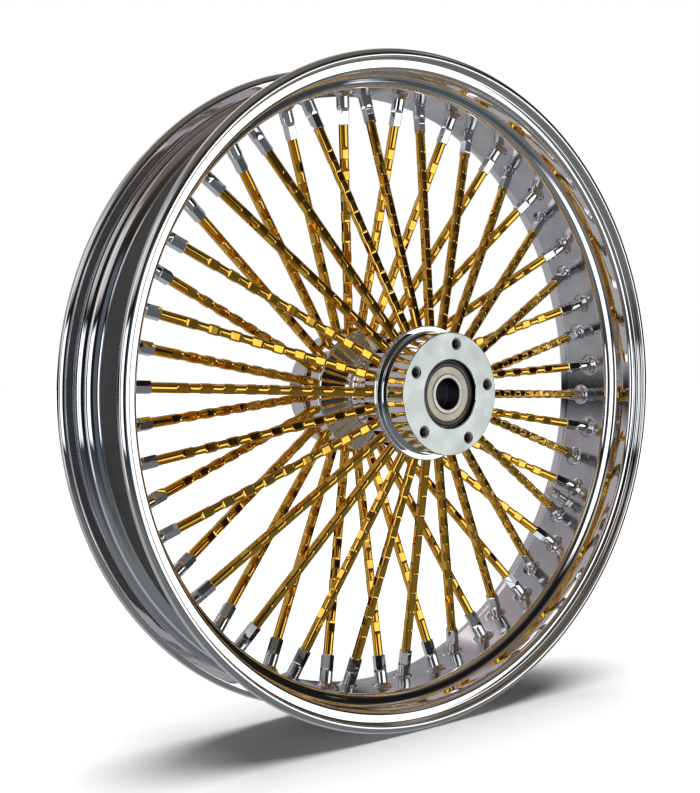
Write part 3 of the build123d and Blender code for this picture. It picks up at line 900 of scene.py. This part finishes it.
def make_valve():
    place = valve_matrix()

    def stem_radius(angles, z):
        if z < -259.8:
            return np.full(angles.shape, STEM_HEAD_RADIUS)
        lift = np.abs(((z / STEM_THREAD_PITCH + angles / (2 * math.pi)) % 1.0) * 2 - 1)
        threaded = -253.0 < z < -231.0
        cut = STEM_THREAD_DEPTH * lift if threaded else 0.0
        return np.full(angles.shape, STEM_RADIUS) - cut

    stations = [(-262.2, 0.93), -261.6, -260.3, (-260.25, STEM_RADIUS / STEM_HEAD_RADIUS), -259.7, -256.0]
    stations += list(np.arange(-253.5, -231.0, 0.2))
    stations += [-230.9, (-230.5, 0.88), (-230.5, 0.66), (-233.0, 0.66)]
    stem = polar_mesh("valve_stem_fine", stations, 48, stem_radius, 40)
    new_object("valve_stem_fine", stem, NICKEL, "wheel", ["valve_stem"], place)

    def nut_radius(angles, z):
        sector = (angles + math.pi / 6) % (math.pi / 3) - math.pi / 6
        flat = NUT_HALF_FLATS / np.cos(sector)
        edge = min(z + 254.85, -250.85 - z)
        return np.minimum(flat, 5.05 + 1.6 * edge)

    stations = [(-254.85, 0.8), -254.85]
    stations += list(np.linspace(-254.8, -250.9, 14))
    stations += [-250.85, (-250.85, 0.8)]
    nut = polar_mesh("valve_nut_fine", stations, 96, nut_radius, 25)
    new_object("valve_nut_fine", nut, NICKEL, "wheel", ["valve_nut"], place)

    def cap_radius(angles, z):
        depth = CAP_FLUTE_DEPTH * np.clip((np.cos(CAP_FLUTES * angles) - 0.2) / 0.8, 0, 1)
        grip = 1.0 if -238.2 < z < -229.6 else 0.0
        return np.full(angles.shape, CAP_RADIUS) - depth * grip

    stations = [(-229.8, 0.86), (-238.7, 0.86), (-239.0, 0.90), (-239.0, 0.96)]
    stations += [-238.6, -238.21, -238.1]
    stations += list(np.linspace(-237.5, -230.0, 8)) + [-229.65, -229.55, -229.2]
    stations += [(-228.4, 0.93), (-228.1, 0.85), (-228.0, 0.72), (-228.0, 0.05)]
    cap = polar_mesh("valve_cap_fine", stations, 120, cap_radius, 35)
    new_object("valve_cap_fine", cap, NICKEL, "valve_cap", ["valve_cap"], place)


# ---------------------------------------------------------------- pieces kept from the CAD part


def finish_kept_nodes():
    kept = {
        "valve_grommet": GROMMET,
        "valve_core": BRASS,
        "valve_pin": BRASS,
        "bearing_spacer": SPACER,
    }
    for name in SIDE_NAME.values():
        kept["bearing_balls_" + name] = STEEL
        kept["bearing_cage_" + name] = CAGE
        kept["bearing_seal_inner_" + name] = SEAL
    for node, finish in kept.items():
        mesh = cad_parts[node].data
        mesh.materials.clear()
        mesh.materials.append(finish)


# ---------------------------------------------------------------- stage, light and camera


FLOOR_SIZE = 8.0
FLOOR_GAP = 0.0002
FLOOR_GREY = 0.93
FLOOR_ROUGHNESS = 0.9


def make_floor():
    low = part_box("rim")[0]
    size = FLOOR_SIZE
    mesh = bpy.data.meshes.new("floor")
    corners = [(-size, -size, 0), (size, -size, 0), (size, size, 0), (-size, size, 0)]
    mesh.from_pydata(corners, [], [(0, 1, 2, 3)])
    floor = bpy.data.objects.new("floor", mesh)
    bpy.context.scene.collection.objects.link(floor)
    floor.location.z = low.z - FLOOR_GAP
    m, nodes, links, shader = material("floor_pale")
    shader.inputs["Base Color"].default_value = (FLOOR_GREY, FLOOR_GREY, FLOOR_GREY, 1)
    shader.inputs["Roughness"].default_value = FLOOR_ROUGHNESS
    mesh.materials.append(m)
    floor.visible_glossy = False


# The room that the metal mirrors: elevation in degrees, colour.
STUDIO_HEIGHTS = (
    (-90.0, (0.16, 0.17, 0.175)),
    (-34.0, (0.17, 0.18, 0.19)),
    (-20.0, (0.06, 0.065, 0.07)),
    (-8.0, (0.012, 0.013, 0.014)),
    (20.0, (0.010, 0.009, 0.008)),
    (38.0, (0.05, 0.04, 0.032)),
    (54.0, (0.15, 0.13, 0.11)),
    (90.0, (0.16, 0.145, 0.13)),
)
# Bright panels in it: azimuth from the wheel's right toward its front, half width, elevation,
# half height, soft edge, colour.
STUDIO_PANELS = (
    (180.0, 80.0, -42.0, 36.0, 10.0, (0.40, 0.40, 0.41)),
    (-165.0, 70.0, 33.0, 27.0, 10.0, (0.40, 0.385, 0.40)),
    (172.0, 14.0, 38.0, 4.0, 3.0, (1.6, 1.5, 1.45)),
    (68.0, 12.0, 45.0, 5.0, 5.0, (0.40, 0.37, 0.34)),
    (-12.0, 9.0, 0.0, 22.0, 6.0, (0.10, 0.12, 0.15)),
    (-70.0, 19.0, 1.0, 15.0, 4.0, (1.45, 1.52, 1.58)),
    (-78.0, 26.0, 38.0, 14.0, 10.0, (0.62, 0.60, 0.60)),
    (-112.0, 5.0, 10.0, 34.0, 3.0, (1.30, 1.36, 1.42)),
    (24.0, 26.0, -3.0, 17.0, 3.0, (1.58, 1.62, 1.58)),
)
DIFFUSE_SHARE = 0.30


def math_node(nodes, links, operation, *values):
    node = nodes.new("ShaderNodeMath")
    node.operation = operation
    for socket, value in zip(node.inputs, values):
        if isinstance(value, (int, float)):
            socket.default_value = value
        else:
            links.new(value, socket)
    return node.outputs[0]


def soft_step(nodes, links, distance, half, soft):
    """1 inside the half width, 0 outside it, with a soft edge."""
    step = nodes.new("ShaderNodeMapRange")
    step.interpolation_type = "SMOOTHSTEP"
    step.inputs["From Min"].default_value = math.radians(half - soft / 2)
    step.inputs["From Max"].default_value = math.radians(half + soft / 2)
    step.inputs["To Min"].default_value = 1.0
    step.inputs["To Max"].default_value = 0.0
    links.new(distance, step.inputs["Value"])
    return step.outputs["Result"]


def make_world():
    """White to the camera. The metal sees a dim room: grey below, dark walls, a brown-grey ceiling,
    and a few soft bright panels."""
    world = bpy.data.worlds.new("studio")
    bpy.context.scene.world = world
    world.use_nodes = True
    nodes, links = world.node_tree.nodes, world.node_tree.links
    nodes.clear()
    coordinates = nodes.new("ShaderNodeTexCoord")
    parts = nodes.new("ShaderNodeSeparateXYZ")
    links.new(coordinates.outputs["Generated"], parts.inputs["Vector"])
    elevation = math_node(nodes, links, "ARCSINE", parts.outputs["Z"])
    toward = math_node(nodes, links, "MULTIPLY", parts.outputs["Y"], -1.0)
    azimuth = math_node(nodes, links, "ARCTAN2", parts.outputs["X"], toward)
    share = between(nodes, links, elevation, 0.0, 1.0, -math.pi / 2, math.pi / 2)
    ramp = nodes.new("ShaderNodeValToRGB")
    links.new(share, ramp.inputs["Fac"])
    elements = ramp.color_ramp.elements
    while len(elements) < len(STUDIO_HEIGHTS):
        elements.new(0.5)
    for element, (height, colour) in zip(elements, STUDIO_HEIGHTS):
        element.position = (height + 90.0) / 180.0
        element.color = (*colour, 1)
    colour_so_far = ramp.outputs["Color"]
    for middle, half_width, level, half_height, soft, colour in STUDIO_PANELS:
        aside = math_node(nodes, links, "SUBTRACT", azimuth, math.radians(middle))
        aside = math_node(nodes, links, "WRAP", aside, math.pi, -math.pi)
        aside = math_node(nodes, links, "ABSOLUTE", aside)
        above = math_node(nodes, links, "SUBTRACT", elevation, math.radians(level))
        above = math_node(nodes, links, "ABSOLUTE", above)
        across = soft_step(nodes, links, aside, half_width, soft)
        upright = soft_step(nodes, links, above, half_height, soft)
        mask = math_node(nodes, links, "MULTIPLY", across, upright)
        mix = nodes.new("ShaderNodeMix")
        mix.data_type = "RGBA"
        links.new(mask, mix.inputs["Factor"])
        links.new(colour_so_far, mix.inputs[6])
        mix.inputs[7].default_value = (*colour, 1)
        colour_so_far = mix.outputs[2]
    path = nodes.new("ShaderNodeLightPath")
    room = nodes.new("ShaderNodeBackground")
    links.new(colour_so_far, room.inputs["Color"])
    strength = between(nodes, links, path.outputs["Is Diffuse Ray"], 1.0, DIFFUSE_SHARE, 0.0, 1.0)
    links.new(strength, room.inputs["Strength"])
    white = nodes.new("ShaderNodeBackground")
    white.inputs["Color"].default_value = (1, 1, 1, 1)
    mix = nodes.new("ShaderNodeMixShader")
    links.new(path.outputs["Is Camera Ray"], mix.inputs["Fac"])
    links.new(room.outputs["Background"], mix.inputs[1])
    links.new(white.outputs["Background"], mix.inputs[2])
    output = nodes.new("ShaderNodeOutputWorld")
    links.new(mix.outputs["Shader"], output.inputs["Surface"])


def lamp(name, kind, energy, place, target):
    """Lamp that lights the matt surfaces and isn't mirrored in the metal."""
    data = bpy.data.lights.new(name, kind)
    data.energy = energy
    holder = bpy.data.objects.new(name, data)
    bpy.context.scene.collection.objects.link(holder)
    holder.location = place
    holder.rotation_euler = (Vector(target) - Vector(place)).to_track_quat("-Z", "Y").to_euler()
    holder.visible_glossy = False
    return data


OVERHEAD_STRENGTH = 4.6
OVERHEAD_ANGLE = 52
HUB_LIGHT_WATTS = 26.0
HUB_LIGHT_CONE = 11
HUB_LIGHT_BLEND = 0.6
HUB_LIGHT_RADIUS = 0.08


def make_lights():
    overhead = lamp("overhead", "SUN", OVERHEAD_STRENGTH, (0, 0, 2), (0, 0, 0))
    overhead.angle = math.radians(OVERHEAD_ANGLE)
    hub_light = lamp("hub_light", "SPOT", HUB_LIGHT_WATTS, (-0.25, -1.0, 0.25), (0, -0.08, 0))
    hub_light.spot_size = math.radians(HUB_LIGHT_CONE)
    hub_light.spot_blend = HUB_LIGHT_BLEND
    hub_light.shadow_soft_size = HUB_LIGHT_RADIUS


CAMERA_AZIMUTH = -39.16
CAMERA_ELEVATION = 2.0
CAMERA_DISTANCE = 1.0556
CAMERA_LENS = 55.38
CAMERA_SHIFT = (-0.0497, -0.0064)


def make_camera():
    data = bpy.data.cameras.new("camera")
    data.lens = CAMERA_LENS
    data.shift_x, data.shift_y = CAMERA_SHIFT
    camera = bpy.data.objects.new("camera", data)
    bpy.context.scene.collection.objects.link(camera)
    azimuth, elevation = math.radians(CAMERA_AZIMUTH), math.radians(CAMERA_ELEVATION)
    back = Vector(
        (
            math.sin(azimuth) * math.cos(elevation),
            -math.cos(azimuth) * math.cos(elevation),
            math.sin(elevation),
        )
    )
    camera.location = back * CAMERA_DISTANCE
    camera.rotation_euler = back.to_track_quat("Z", "Y").to_euler()
    bpy.context.scene.camera = camera


make_camera()
make_rim()
make_well()
make_band()
make_lacing()
make_hub_core()
for each_side in (RIGHT, LEFT):
    make_hub_cap(each_side)
    make_bearing(each_side)
make_valve()
finish_kept_nodes()
make_floor()
make_world()
make_lights()
bpy.context.scene.view_settings.view_transform = "Standard"
